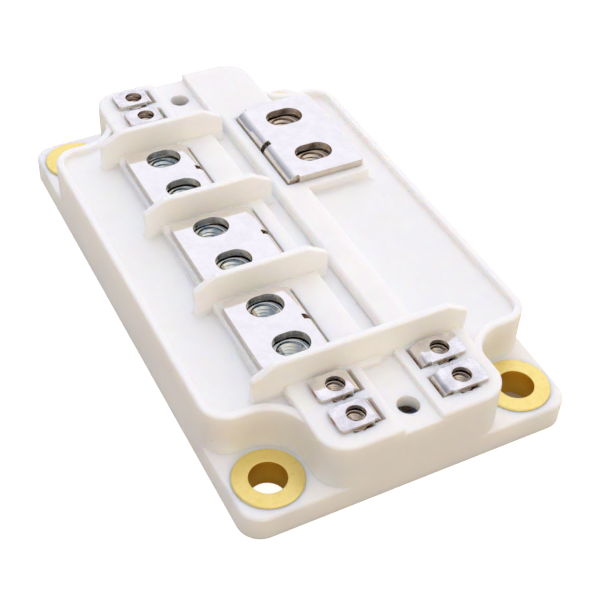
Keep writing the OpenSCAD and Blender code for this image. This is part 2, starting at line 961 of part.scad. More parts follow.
// Arc in the X-Z plane between two points, rising by sag over its chord; the child is its section
module arc(x0, z0, x1, z1, sag) {
  chord = norm([x1 - x0, z1 - z0]);
  r = (chord * chord / 4 + sag * sag) / (2 * sag);
  half = asin(chord / 2 / r);
  translate([x0, 0, z0])
    rotate([0, -atan2(z1 - z0, x1 - x0), 0])
      translate([chord / 2, 0, sag - r])
        rotate([90, 0, 0])
          rotate([0, 0, 90 - half])
            rotate_extrude(angle = 2 * half, $fn = 20)
              translate([r, 0])
                children();
}

// Bonded ribbon: an arc with a flat foot at each end, between surfaces z0 and z1
module ribbon(x0, z0, x1, z1) {
  mid = ribbon_foot_h / 2;
  arc(x0, z0 + mid, x1, z1 + mid, ribbon_rise)
    square([ribbon_t, ribbon_w], center = true);
  for (p = [[x0, z0], [x1, z1]])
    translate([p[0] - ribbon_foot_l / 2, -ribbon_w / 2, p[1]])
      cube([ribbon_foot_l, ribbon_w, ribbon_foot_h]);
}

// Bonded wire, with the same kind of feet
module wire(x0, z0, x1, z1, rise) {
  mid = wire_foot_h / 2;
  arc(x0, z0 + mid, x1, z1 + mid, rise)
    circle(wire_d / 2, $fn = 14);
  for (p = [[x0, z0], [x1, z1]])
    translate([p[0] - wire_foot_l / 2, -wire_foot_w / 2, p[1]])
      cube([wire_foot_l, wire_foot_w, wire_foot_h]);
}

module source_ribbons_left() {
  color(aluminium)
    at_left_chips()
      for (s = [-1, 1])
        translate([0, s * ribbon_side, 0])
          ribbon(ribbon_in, chip_z, drain_left_x + track_gap + ribbon_in - left_chip_x, track_z);
}

module source_ribbons_right() {
  color(aluminium)
    at_right_chips()
      for (s = [-1, 1])
        translate([0, s * ribbon_side, 0]) {
          ribbon(right_chip_x[0] + ribbon_in, chip_z, right_chip_x[1] - ribbon_in, chip_z);
          ribbon(source_x - ribbon_in, track_z, right_chip_x[0] - ribbon_in, chip_z);
        }
}

module gate_wires_left() {
  color(aluminium)
    at_left_chips()
      wire(gate_w / 2 - track_x - left_chip_x, track_z, wire_in - chip_side / 2, chip_z, wire_rise);
}

module gate_wires_right() {
  pad_x = chip_side / 2 - wire_in;
  color(aluminium)
    at_right_chips() {
      translate([0, wire_side, 0])
        wire(right_chip_x[0] + pad_x, chip_z, gate_right_x, track_z, wire_rise);
      translate([0, -wire_side, 0])
        wire(gate_right_x, track_z, right_chip_x[1] - pad_x, chip_z, wire_rise);
    }
}

// Wire along Y from a control lead's end on its ledge down to a track
module control_wire(x, end, y_lead, y_track) {
  translate([x, 0, 0])
    rotate([0, 0, end * 90])
      wire(y_track, track_z, y_lead, ledge_z + tab_t, wire_rise_long);
}

module control_wires() {
  lead_in = lead_end_y + wire_in;
  inner_edge = tab_pitch / 2 + tab_w / 2 - tab_step - wire_in;
  feed_y = track_far - feed_w / 2;
  color(aluminium) {
    control_wire(-bond_in_x, -1, lead_in, feed_y);
    control_wire(bond_in_x, -1, lead_in, feed_y);
    control_wire(-bond_out_x, -1, -near_tabs_y - inner_edge, -track_near - wire_in);
    control_wire(bond_out_x, -1, -near_tabs_y - inner_edge, -track_near - wire_in);
    control_wire(-bond_in_x, 1, lead_in, track_far - wire_in);
    control_wire(-bond_out_x, 1, far_tabs_y - inner_edge, track_far - wire_in);
  }
}

housing();
bushing_near_left();
bushing_near_right();
bushing_far_left();
bushing_far_right();
source_plate_far();
drain_plate_left();
source_plate_near();
drain_plate_right();
row_nuts();
output_nuts();
control_nuts();
gate_tab_left();
sense_tab_left();
gate_tab_right();
sense_tab_right();
thermistor_tab_a();
thermistor_tab_b();
ceramic_plate();
base_copper();
drain_track_left();
drain_track_right();
source_track_far();
source_track_near();
gate_track_left();
gate_track_right();
thermistor_pads();
thermistor();
chips_left();
chips_right();
source_ribbons_left();
source_ribbons_right();
gate_wires_left();
gate_wires_right();
control_wires();
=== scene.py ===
# %% [markdown]
# # A power switching module, dressed for its portrait
#
# The module is a white moulded cap on a copper-clad ceramic base. Plates and small tabs of nickelled
# copper are folded over captive nuts, and four turned brass bushings take the mounting screws.
# The construction comes in ready-made and stays where it is. This lesson gives it the soft moulded edges,
# real threads, finishes and studio light that a camera would see.

# %% Load the construction
import json
import math

import bmesh
import bpy
from mathutils import Matrix, Vector


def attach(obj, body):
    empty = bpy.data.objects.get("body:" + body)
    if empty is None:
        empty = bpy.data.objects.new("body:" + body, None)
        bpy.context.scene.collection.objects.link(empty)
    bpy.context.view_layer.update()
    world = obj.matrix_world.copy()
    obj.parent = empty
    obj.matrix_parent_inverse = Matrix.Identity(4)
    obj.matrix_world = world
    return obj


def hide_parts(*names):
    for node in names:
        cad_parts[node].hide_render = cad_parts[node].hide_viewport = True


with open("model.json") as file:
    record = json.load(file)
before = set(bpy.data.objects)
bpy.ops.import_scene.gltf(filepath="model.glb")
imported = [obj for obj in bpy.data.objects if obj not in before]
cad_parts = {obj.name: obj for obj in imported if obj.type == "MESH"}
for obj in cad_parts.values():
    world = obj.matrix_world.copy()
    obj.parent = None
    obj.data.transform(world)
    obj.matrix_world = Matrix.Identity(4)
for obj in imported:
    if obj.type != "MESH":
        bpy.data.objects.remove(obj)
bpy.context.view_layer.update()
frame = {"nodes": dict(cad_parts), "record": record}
MM = 0.001
print("nodes:", len(frame["nodes"]))

# %% [markdown]
# ## Working by hand, in code
#
# Operators act on whatever is selected, and the imported construction arrives selected. So every step
# starts by deselecting everything, and then picks one object, or faces and edges by where they are.


# %% Selecting
def take(*pieces):
    """Makes these objects, and no others, the selection; the first one is active."""
    bpy.ops.object.select_all(action="DESELECT")
    for piece in pieces:
        piece.select_set(True)
    bpy.context.view_layer.objects.active = pieces[0]


def pick(piece, faces=None, edges=None):
    """In edit mode, selects the faces or edges for which the given test is true."""
    bpy.ops.mesh.select_all(action="DESELECT")
    bpy.ops.mesh.select_mode(type="FACE" if faces else "EDGE")
    mesh = bmesh.from_edit_mesh(piece.data)
    chosen = [item for item in (mesh.faces if faces else mesh.edges) if (faces or edges)(item)]
    for item in chosen:
        item.select_set(True)
    mesh.select_flush_mode()
    bmesh.update_edit_mesh(piece.data)
    return len(chosen)


def level(item, z, slack=0.01 * MM):
    """True for an edge or a face that lies flat at height z."""
    return all(abs(v.co.z - z) < slack for v in item.verts)


# %% [markdown]
# A construction node is a bag of loose triangles. A copy of it is welded first, and its flat faces are made
# whole, so that a Bevel modifier meets clean edges. Faces that wrap around a hole or a corner are then cut
# into convex ones, because a bevel on a folded outline leaves torn corners.


# %% Copies and rounded edges
def merged_copy(node, name):
    """A welded copy of a construction node, with whole flat faces and a mesh of its own."""
    piece = frame["nodes"][node].copy()
    piece.data = frame["nodes"][node].data.copy()
    piece.parent = None
    piece.name = piece.data.name = name
    bpy.context.scene.collection.objects.link(piece)
    take(piece)
    bpy.ops.object.mode_set(mode="EDIT")
    bpy.ops.mesh.select_all(action="SELECT")
    bpy.ops.mesh.remove_doubles(threshold=0.002 * MM)
    bpy.ops.mesh.customdata_custom_splitnormals_clear()
    bpy.ops.mesh.dissolve_limited(angle_limit=math.radians(0.4))
    bpy.ops.mesh.vert_connect_concave()
    bpy.ops.object.mode_set(mode="OBJECT")
    return piece


def soften(piece, width, segments, method):
    """Rounds edges and keeps the flat faces beside them flat to the light."""
    take(piece)
    bpy.ops.object.shade_smooth_by_angle(angle=math.radians(28))
    bevel = piece.modifiers.new("soft edges", "BEVEL")
    bevel.width = width
    bevel.segments = segments
    bevel.limit_method = method
    bevel.angle_limit = math.radians(35)
    bevel.use_clamp_overlap = False
    bevel.loop_slide = False
    bevel.harden_normals = True
    bpy.ops.object.modifier_apply(modifier="soft edges")


def hand_in(piece, material, slot, *nodes):
    """The piece gets its finish and stands for its construction nodes."""
    piece.data.materials.clear()
    piece.data.materials.append(material)
    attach(piece, "root")
    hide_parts(*nodes)
    print(piece.name, "faces:", len(piece.data.polygons))


# %% [markdown]
# ## Finishes
#
# A finish is a small network of nodes. Colours are written as they look on a screen and turned into
# linear light by one function, and every pattern is sized in millimetres on the object itself.


# %% Colours and nodes
def colour(code):
    """Linear red, green, blue and alpha for a colour written as on a screen."""
    channels = [int(code[i:i + 2], 16) / 255 for i in (1, 3, 5)]
    return [c / 12.92 if c <= 0.04045 else ((c + 0.055) / 1.055) ** 2.4 for c in channels] + [1.0]


def plug(tree, node, inputs):
    """Links an input that is given another node's output, and sets one that is given a value."""
    for name, value in inputs.items():
        if isinstance(value, bpy.types.NodeSocket):
            tree.links.new(value, node.inputs[name])
        else:
            node.inputs[name].default_value = value


def add(tree, kind, inputs, stops=(), **settings):
    """Adds a node, sets its options and colour stops, and plugs its inputs."""
    node = tree.nodes.new(kind)
    for name, value in settings.items():
        setattr(node, name, value)
    plug(tree, node, inputs)
    for number, (place, code) in enumerate(stops):
        elements = node.color_ramp.elements
        element = elements[number] if number < 2 else elements.new(place)
        element.position = place
        element.color = colour(code)
    return node


def finish(name):
    """A new material with its node tree, its shader and the place on the object."""
    material = bpy.data.materials.new(name)
    material.use_nodes = True
    tree = material.node_tree
    place = add(tree, "ShaderNodeTexCoord", {}).outputs["Object"]
    return material, tree, tree.nodes["Principled BSDF"], place


# %% [markdown]
# ### The cap: moulded glass-filled polyester
#
# The cap is injection moulded from a white polyester with glass fibres in it. The eye sees a bright, satin,
# faintly clouded warm white: fibres and flow leave patches some millimetres wide that are a little warmer or
# duller, and a few scorched specks. Light runs one to two millimetres under the skin, so thin ribs glow and
# corners stay soft. The spark-eroded mould prints a fine grain. The real grain is about 0.05 mm, too fine to
# show, so it is drawn at 0.3 mm.

# %% Moulded polyester
cap_plastic, tree, shader, place = finish("moulded_glass_filled_polyester")
flow = add(tree, "ShaderNodeTexNoise", {"Vector": place, "Scale": 1 / (7 * MM), "Detail": 3.0,
                                        "Roughness": 0.6})
tint = add(tree, "ShaderNodeValToRGB", {"Fac": flow.outputs["Fac"]},
           stops=((0.3, "#F6F4F2"), (0.7, "#FAF9F7")))
grit = add(tree, "ShaderNodeTexVoronoi", {"Vector": place, "Scale": 1 / (6 * MM)})
scorch = add(tree, "ShaderNodeMapRange", {"Value": grit.outputs["Distance"], "From Min": 0.012,
                                          "From Max": 0.03, "To Min": 0.45, "To Max": 0.0})
specked = add(tree, "ShaderNodeMix", {0: scorch.outputs["Result"], 6: tint.outputs["Color"],
                                      7: colour("#B99C74")}, data_type="RGBA")
dull = add(tree, "ShaderNodeMapRange", {"Value": flow.outputs["Fac"], "From Min": 0.3, "From Max": 0.7,
                                        "To Min": 0.4, "To Max": 0.5})
grain = add(tree, "ShaderNodeTexNoise", {"Vector": place, "Scale": 1 / (0.3 * MM), "Detail": 2.0})
relief = add(tree, "ShaderNodeBump", {"Height": grain.outputs["Fac"], "Strength": 0.2,
                                      "Distance": 0.02 * MM})
plug(tree, shader, {"Base Color": specked.outputs[2], "Roughness": dull.outputs["Result"],
                    "Normal": relief.outputs["Normal"], "IOR": 1.54, "Subsurface Weight": 1.0,
                    "Subsurface Radius": (1.0, 0.75, 0.5), "Subsurface Scale": 2.2 * MM})
print(cap_plastic.name)

# %% [markdown]
# ### The terminals: stamped copper under bright nickel
#
# The plates and tabs are stamped from copper sheet and plated with bright nickel, so the plates' flat faces
# mirror the ribs and the room almost cleanly. The small tabs are plated in a barrel, which leaves them with
# grey, bloomed patches; the grey-lavender of these patches is also a painted reflection of the dimmer room.
# Shearing leaves the cut sides duller and browner; they are told from the faces by their normal. A tab is
# broken off its strip last, so the middle of its end shows bare copper.

# %% Bright nickel on stamped copper
PAIR_Y = 44.45 * MM  # from the module's middle to the middle of a near pair of tabs
BREAK_Y, BREAK_REACH = 3.3 * MM, 0.8 * MM  # a tab's break, from the middle of its pair
TAB_HOLE_X, TAB_HOLE_REACH = 9.9 * MM, 2.3 * MM  # the tabs' holes, whose walls stay plated
nickel = {}
# The tabs' second colour is partly barrel-plating bloom and partly a painted reflection of the darker room on
# their left.
for name, patch_and_painted_reflection_tone in (("bright_nickel_on_stamped_copper", "#E9E7E8"),
                      ("barrel_nickel_with_painted_reflection", "#CBC9D0")):
    nickel[name], tree, shader, place = finish(name)
    bloom = add(tree, "ShaderNodeTexNoise", {"Vector": place, "Scale": 1 / (2.5 * MM), "Detail": 4.0,
                                             "Roughness": 0.6})
    faces = add(tree, "ShaderNodeValToRGB", {"Fac": bloom.outputs["Fac"]},
                stops=((0.35, "#F3F1F2"), (0.75, patch_and_painted_reflection_tone)))
    shear = add(tree, "ShaderNodeTexNoise", {"Vector": place, "Scale": 1 / (0.9 * MM), "Detail": 3.0})
    sides = add(tree, "ShaderNodeValToRGB", {"Fac": shear.outputs["Fac"]},
                stops=((0.4, "#D6CBBB"), (0.6, "#E2DACE"), (0.76, "#C9A78F")))
    facing = add(tree, "ShaderNodeNewGeometry", {})
    upright = add(tree, "ShaderNodeSeparateXYZ", {"Vector": facing.outputs["True Normal"]})
    slope = add(tree, "ShaderNodeMath", {0: upright.outputs["Z"]}, operation="ABSOLUTE")
    cut = add(tree, "ShaderNodeMapRange", {"Value": slope.outputs["Value"], "From Min": 0.12,
                                           "From Max": 0.35, "To Min": 1.0, "To Max": 0.0})
    along = add(tree, "ShaderNodeSeparateXYZ", {"Vector": place})
    from_end = add(tree, "ShaderNodeMath", {0: along.outputs["Y"]}, operation="ABSOLUTE")
    from_pair = add(tree, "ShaderNodeMath", {0: from_end.outputs["Value"], 1: PAIR_Y}, operation="SUBTRACT")
    from_pair = add(tree, "ShaderNodeMath", {0: from_pair.outputs["Value"]}, operation="ABSOLUTE")
    broken = add(tree, "ShaderNodeMath", {0: from_pair.outputs["Value"], 1: BREAK_Y, 2: BREAK_REACH},
                 operation="COMPARE")
    ends = add(tree, "ShaderNodeMath", {0: upright.outputs["X"]}, operation="ABSOLUTE")
    ends = add(tree, "ShaderNodeMath", {0: ends.outputs["Value"], 1: 0.8}, operation="GREATER_THAN")
    bare = add(tree, "ShaderNodeMath", {0: broken.outputs["Value"], 1: ends.outputs["Value"]},
               operation="MULTIPLY")
    outer = add(tree, "ShaderNodeMath", {0: along.outputs["X"]}, operation="ABSOLUTE")
    holed = add(tree, "ShaderNodeMath", {0: outer.outputs["Value"], 1: TAB_HOLE_X, 2: TAB_HOLE_REACH},
                operation="COMPARE")
    bare = add(tree, "ShaderNodeMath", {0: bare.outputs["Value"], 1: holed.outputs["Value"]},
               operation="SUBTRACT", use_clamp=True)
    sides = add(tree, "ShaderNodeMix", {0: bare.outputs["Value"], 6: sides.outputs["Color"],
                                        7: colour("#C07A5E")}, data_type="RGBA")
    both = add(tree, "ShaderNodeMix", {0: cut.outputs["Result"], 6: faces.outputs["Color"],
                                       7: sides.outputs[2]}, data_type="RGBA")
    haze = add(tree, "ShaderNodeMapRange", {"Value": bloom.outputs["Fac"], "From Min": 0.35,
                                            "From Max": 0.75, "To Min": 0.04, "To Max": 0.1})
    rough = add(tree, "ShaderNodeMapRange", {"Value": cut.outputs["Result"],
                                             "To Min": haze.outputs["Result"], "To Max": 0.22})
    plug(tree, shader, {"Base Color": both.outputs[2], "Roughness": rough.outputs["Result"],
                        "Metallic": 1.0})
bright_nickel, tab_nickel_with_painted_reflection = nickel.values()
print(*nickel)

# %% [markdown]
# ### The bushings: turned brass
#
# Each bushing is turned on a lathe, so its end face carries fine rings around the bore. The rings come from
# the distance to the nearest bushing's axis: the four axes are mirror images, so the absolute value of X and
# Y brings them all onto one. A lathe leaves rings 0.1 mm apart, drawn here at 0.35 mm. The bore is drilled
# and never polished, so it is a deeper yellow.

# %% Turned brass
HOLE_X, HOLE_Y, BORE_R = 24 * MM, 46.5 * MM, 3.2 * MM
turned_brass, tree, shader, place = finish("turned_brass")
mirrored = add(tree, "ShaderNodeVectorMath", {0: place}, operation="ABSOLUTE")
from_axis = add(tree, "ShaderNodeVectorMath", {0: mirrored.outputs["Vector"], 1: (HOLE_X, HOLE_Y, 0)},
                operation="SUBTRACT")
flat = add(tree, "ShaderNodeVectorMath", {0: from_axis.outputs["Vector"], 1: (1, 1, 0)},
           operation="MULTIPLY")
radius = add(tree, "ShaderNodeVectorMath", {0: flat.outputs["Vector"]}, operation="LENGTH")
rings = add(tree, "ShaderNodeTexNoise", {"W": radius.outputs["Value"], "Scale": 1 / (0.35 * MM),
                                         "Detail": 3.0}, noise_dimensions="1D")
stain = add(tree, "ShaderNodeTexNoise", {"Vector": place, "Scale": 1 / (2.2 * MM), "Detail": 5.0,
                                         "Roughness": 0.65})
tarnish = add(tree, "ShaderNodeValToRGB", {"Fac": stain.outputs["Fac"]},
              stops=((0.3, "#F5DF88"), (0.55, "#FBE898"), (0.75, "#F0D67A")))
bored = add(tree, "ShaderNodeMath", {0: radius.outputs["Value"], 1: BORE_R + 0.05 * MM},
            operation="LESS_THAN")
brass = add(tree, "ShaderNodeMix", {0: bored.outputs["Value"], 6: tarnish.outputs["Color"],
                                    7: colour("#F4D258")}, data_type="RGBA")
dull = add(tree, "ShaderNodeMapRange", {"Value": rings.outputs["Fac"], "From Min": 0.3, "From Max": 0.7,
                                        "To Min": 0.34, "To Max": 0.42})
relief = add(tree, "ShaderNodeBump", {"Height": rings.outputs["Fac"], "Strength": 0.02,
                                      "Distance": 0.01 * MM})
plug(tree, shader, {"Base Color": brass.outputs[2], "Roughness": dull.outputs["Result"],
                    "Normal": relief.outputs["Normal"], "Metallic": 1.0})
print(turned_brass.name)

# %% [markdown]
# ### The nuts: zinc-plated and nickel-plated steel
#
# The nuts in the row are zinc plated and passivated, which gives steel a cool blue-grey gleam with patches of
# warmer light. The other nuts are nickel plated, duller and browner. Both are tapped after forging,
# so their threads are smooth and gather sharp dark and bright lines.

# %% Plated steels
steels = {}
for name, patch, stops, smoothest, dullest in (
        ("blue_zinc_plated_steel", 1.6 * MM,
         ((0.3, "#A9BBC8"), (0.5, "#D2DCE2"), (0.7, "#E6E8E2")), 0.03, 0.08),
        ("nickel_plated_steel", 1.4 * MM,
         ((0.3, "#C2B1A3"), (0.7, "#E6DBD1")), 0.08, 0.17)):
    steels[name], tree, shader, place = finish(name)
    film = add(tree, "ShaderNodeTexNoise", {"Vector": place, "Scale": 1 / patch, "Detail": 3.0})
    shade = add(tree, "ShaderNodeValToRGB", {"Fac": film.outputs["Fac"]}, stops=stops)
    dull = add(tree, "ShaderNodeMapRange", {"Value": film.outputs["Fac"], "From Min": 0.3, "From Max": 0.7,
                                            "To Min": smoothest, "To Max": dullest})
    plug(tree, shader, {"Base Color": shade.outputs["Color"], "Roughness": dull.outputs["Result"],
                        "Metallic": 1.0})
blue_zinc, brown_nickel = steels.values()
print(*steels)

# %% [markdown]
# ### Inside and below: etched copper, alumina, silicon and bonding aluminium
#
# The base shows underneath as a field of copper bonded to white ceramic. Copper bonded at high heat has large
# crystals, which show as patches of slightly different brightness about a millimetre wide. The ceramic is
# matt and off-white, the chips are dark under a thin film of metal, and the bonding ribbons and wires are
# soft, pale aluminium.

# %% Base materials
bonded_copper, tree, shader, place = finish("bonded_copper")
crystals = add(tree, "ShaderNodeTexVoronoi", {"Vector": place, "Scale": 1 / (1.2 * MM)})
shades = add(tree, "ShaderNodeSeparateColor", {"Color": crystals.outputs["Color"]})
tint = add(tree, "ShaderNodeValToRGB", {"Fac": shades.outputs["Red"]},
           stops=((0.0, "#C98563"), (1.0, "#DC9C7A")))
dull = add(tree, "ShaderNodeMapRange", {"Value": shades.outputs["Green"], "To Min": 0.28, "To Max": 0.42})
plug(tree, shader, {"Base Color": tint.outputs["Color"], "Roughness": dull.outputs["Result"],
                    "Metallic": 1.0})

grainy = {}
for name, grain, detail, stops, surface in (
        ("fired_alumina", 0.8 * MM, 4.0, ((0.3, "#E4E1D9"), (0.7, "#EFEDE8")),
         {"Roughness": 0.6, "IOR": 1.76}),
        ("metallised_silicon", 0.5 * MM, 2.0, ((0.35, "#4A4C57"), (0.65, "#5E606B")),
         {"Roughness": 0.25, "Metallic": 0.6}),
        ("drawn_bonding_aluminium", 0.4 * MM, 3.0, ((0.3, "#D2D3D5"), (0.7, "#E4E4E6")),
         {"Roughness": 0.3, "Metallic": 1.0})):
    grainy[name], tree, shader, place = finish(name)
    speckle = add(tree, "ShaderNodeTexNoise", {"Vector": place, "Scale": 1 / grain, "Detail": detail})
    tint = add(tree, "ShaderNodeValToRGB", {"Fac": speckle.outputs["Fac"]}, stops=stops)
    plug(tree, shader, {"Base Color": tint.outputs["Color"], **surface})
fired_alumina, silicon_chip, bond_aluminium = grainy.values()
print(bonded_copper.name, *grainy)

# %% [markdown]
# The record of the construction says what each node is made of, so the nodes that stay in view get their
# finish by that name.

# %% Finishes on the construction
looks = {"cap": cap_plastic, "brass": turned_brass, "plated_copper": bright_nickel, "zinc_steel": blue_zinc,
         "nickel_steel": brown_nickel, "copper": bonded_copper, "ceramic": fired_alumina,
         "silicon": silicon_chip, "aluminium": bond_aluminium}
for part in frame["record"]["subparts"]:
    mesh = frame["nodes"][part["node"]].data
    mesh.materials.clear()
    mesh.materials.append(looks[part["material_slot"]])
print("finishes:", len(looks))

# %% [markdown]
# ## The cap's soft edges
#
# A moulded cap has no knife edges: the mould is rounded wherever an edge would chip, and a wall meets a floor
# in a small cove so that the melt can flow round it. The construction is sharp, so a welded copy gets a Bevel
# modifier. Each edge carries a weight, its radius in millimetres, chosen by where the edge is.

# %% Where the cap's edges are
FLANGE, ROOF, FLOOR, RIM, DECK, LAND = (z * MM for z in (5.2, 10.5, 12.7, 14.0, 14.8, 15.2))
HALF_W, HALF_L, CORNER = 31 * MM, 53.8 * MM, 4.2 * MM
FLANGE_Y = 38.2 * MM  # from here to the end, the flange is wide enough for a round edge
END_Y, OUTSIDE_X = 30 * MM, 18 * MM  # bounds that take in the flange at the corners
TOWER_X, TOWER_Y, CHANNEL_X = 17.05 * MM, 38 * MM, 3.6 * MM  # two towers at each end, and the gap between
FILLING_Y = (-48.6 * MM, 46.6 * MM)
FILLING_EDGE, FILLING_REACH = 2 * MM, 2.4 * MM
NARROW_X, NARROW_Y, GAP_X = 24.6 * MM, 33 * MM, (0, 5 * MM)  # where little of the floor is left
RIM_ROOM = 0.55 * MM  # the least distance from a tower for a round rim
STRIP_X, STRIP_Y = 4.65 * MM, 36 * MM
BAYS = (20.65 * MM, -2.35 * MM, -25.35 * MM)
RIBS = (32.15 * MM, 9.15 * MM, -13.85 * MM, -36.85 * MM)
RIB_HALF, RIB_ENDS = 0.75 * MM, (-22.7 * MM, 3.2 * MM, 17.9 * MM)
ROW_SEAT_X, ROW_SEAT_Y = (-19.3 * MM, 0.7 * MM), 10.4 * MM
PAD_SEAT_X, PAD_SEAT_Y = (6.6 * MM, 23.5 * MM), (8 * MM, 35.5 * MM)
TAB_SEAT_X, TAB_SEAT_Y = (4.6 * MM, 14.8 * MM), (37.65 * MM, 52 * MM)
NEAR = 0.1 * MM  # this close counts as being there
print("levels (mm):", [round(z / MM, 1) for z in (FLANGE, ROOF, FLOOR, RIM, DECK, LAND)])

# %% [markdown]
# Edges could be picked by their numbers, but those change whenever the mesh is built anew. Their places
# don't, so small functions measure where a point is from the outline, the filling holes and the seats.


# %% Measuring from the cap's features
def off_outline(p):
    """How far a point is from the base's rounded outline."""
    x = abs(p.x) - HALF_W + CORNER
    y = abs(p.y) - HALF_L + CORNER
    return abs(math.hypot(max(x, 0), max(y, 0)) + min(max(x, y), 0) - CORNER)


def from_filling(p):
    """How far a point is from the nearest filling hole's axis."""
    return min(math.hypot(p.x, p.y - y) for y in FILLING_Y)


def within(value, span):
    """True between the two ends of a span."""
    return span[0] < value < span[1]


def in_a_seat(p):
    """True inside the outlines of the slots, nut seats and filling holes, whose edges stay crisp."""
    row = within(p.x, ROW_SEAT_X) and min(abs(p.y - bay) for bay in BAYS) < ROW_SEAT_Y
    pad = within(p.x, PAD_SEAT_X) and within(p.y, PAD_SEAT_Y)
    tower = within(abs(p.x), TAB_SEAT_X) and within(abs(p.y), TAB_SEAT_Y)
    return row or pad or tower or from_filling(p) < FILLING_REACH


print("from the middle to a filling hole (mm):", round(from_filling(Vector((0, 0, 0))) / MM, 1))

# %% [markdown]
# The radii follow the use of each edge: large where a finger or a tool would chip it, small in narrow places
# where two roundings would run into each other, and none inside the seats and the hollow.


# %% A radius for each edge
def edge_round(edge):
    """Radius in millimetres for an edge of the cap."""
    if not edge.is_manifold or edge.calc_face_angle(0) < math.radians(32):
        return 0.0
    middle = (edge.verts[0].co + edge.verts[1].co) / 2
    # The outline: the foot, and the flange around the corner holes.
    if off_outline(middle) < 0.05 * MM and edge.is_convex and middle.z < FLANGE + NEAR:
        if middle.z < NEAR:
            return 0.3
        return 0.6 if level(edge, FLANGE) and abs(middle.y) > FLANGE_Y + NEAR else 0.0
    # The inner edge of the filling holes; the rest of the hollow and the seats stay sharp.
    if level(edge, ROOF) and edge.is_convex and from_filling(middle) < FILLING_EDGE:
        return 1.1
    if middle.z < FLOOR - NEAR or in_a_seat(middle):
        return 0.0
    at_rib = min(abs(abs(middle.y - rib) - RIB_HALF) for rib in RIBS) < NEAR
    rib_end = min(abs(middle.x - x) for x in RIB_ENDS) < NEAR
    # Coves along the floor, smaller in its narrow parts.
    if level(edge, FLOOR):
        narrow = abs(middle.x) > NARROW_X or abs(middle.y) > NARROW_Y or within(middle.x, GAP_X)
        return 0.0 if edge.is_convex else 0.25 if narrow else 0.4 if at_rib or rib_end else 0.8
    # The ribs above the land, and the coves of the higher levels.
    if middle.z > LAND + NEAR:
        return 0.4
    if not edge.is_convex:
        return 0.0 if at_rib or level(edge, RIM) else 0.25
    # The strip's left edge, then the rims of the towers and the floor.
    if level(edge, LAND) and abs(middle.x - STRIP_X) < NEAR and abs(middle.y) < STRIP_Y:
        return 0.7
    side = min((f.normal for f in edge.link_faces), key=lambda n: abs(n.z))
    outward = side.x * middle.x + side.y * middle.y > 0
    away = abs(middle.y) > TOWER_Y or level(edge, RIM)
    radius = 0.5 if outward and away and abs(middle.x) > CHANNEL_X else 0.25
    # A rim that runs into a tower's wall has no room for a round edge close to it.
    if level(edge, RIM):
        room = min(abs(v.co.x) for v in edge.verts) - TOWER_X
        return radius if room > RIM_ROOM else 0.0
    return radius


# %% [markdown]
# Where the flange begins beside the body it is too narrow for a round edge, so its faces are first cut there.
# Edges could then be bevelled group by group, but groups that meet would cut into each other. So every edge
# gets its weight, and one Bevel modifier rounds them all at once.


# %% Round the cap
def on_flange(face, end):
    """True for the flange's top and outer sides at one end of the module, -1 near and 1 far."""
    low = all(v.co.z < FLANGE + NEAR and v.co.y * end > END_Y for v in face.verts)
    return (low and (face.normal.z > 0.9 or abs(face.normal.x) > 0.9)
            and abs(face.calc_center_median().x) > OUTSIDE_X)


cap = merged_copy("housing", "cap")
bpy.ops.object.mode_set(mode="EDIT")
for end in (-1, 1):
    pick(cap, faces=lambda f: on_flange(f, end))
    bpy.ops.mesh.bisect(plane_co=(0, FLANGE_Y * end, 0), plane_no=(0, 1, 0))
mesh = bmesh.from_edit_mesh(cap.data)
layers = mesh.edges.layers.float
weights = layers.get("bevel_weight_edge") or layers.new("bevel_weight_edge")
for edge in mesh.edges:
    edge[weights] = edge_round(edge)
print("rounded edges:", sum(edge[weights] > 0 for edge in mesh.edges), "of", len(mesh.edges))
bmesh.update_edit_mesh(cap.data)
bpy.ops.object.mode_set(mode="OBJECT")
soften(cap, 1 * MM, 4, "WEIGHT")

# %% [markdown]
# The bevel leaves the moulded levels in many pieces, whose corners lean with the rounded edges beside them,
# and a satin surface shows that as streaks. More geometry would hide it in part. Joining each level into
# whole faces and taking the normals from those makes it flat to the light again.

# %% Flat floors again
FLAT = 0.001 * MM
bpy.ops.object.mode_set(mode="EDIT")
for z in (FLOOR, RIM, DECK, LAND):
    joined = pick(cap, edges=lambda e: len(e.link_faces) == 2
                  and all(level(f, z, FLAT) for f in e.link_faces))
    bpy.ops.mesh.dissolve_edges(use_verts=False)
    whole = pick(cap, faces=lambda f: level(f, z, FLAT))
    bpy.ops.mesh.set_normals_from_faces(keep_sharp=True)
    print("level", round(z / MM, 1), "edges joined:", joined, "faces:", whole)
bpy.ops.object.mode_set(mode="OBJECT")
hand_in(cap, cap_plastic, "cap", "housing")

# %% [markdown]
# ## Plates and tabs
#
# Stamping rounds one side of a sheet and the plating softens the rest. A narrow bevel on each sharp edge
# catches the thin bright line that the eye reads as the thickness of metal.

# %% Plates and tabs
for node in ("source_plate_far", "drain_plate_left", "source_plate_near", "drain_plate_right"):
    plate = merged_copy(node, node.replace("plate", "terminal"))
    soften(plate, 0.08 * MM, 2, "ANGLE")
    hand_in(plate, bright_nickel, "plated_copper", node)
for node in ("gate_tab_left", "sense_tab_left", "gate_tab_right", "sense_tab_right", "thermistor_tab_a",
             "thermistor_tab_b"):
    tab = merged_copy(node, node.replace("tab", "clip"))
    soften(tab, 0.07 * MM, 2, "ANGLE")
    hand_in(tab, tab_nickel_with_painted_reflection, "plated_copper", node)

# %% [markdown]
# ## Bushings
#
# A bushing is a turned brass tube. It could be a copy of the construction, but a tube made by hand gets a
# finer roundness: a cylinder of 96 sides whose end faces are inset and bridged into a bore. Four rings of
# cuts make room for the waist that locks it in the moulding, and its upper edges are broken as the lathe
# leaves them. Its flat faces take their normals from themselves, or the ring would look dished.

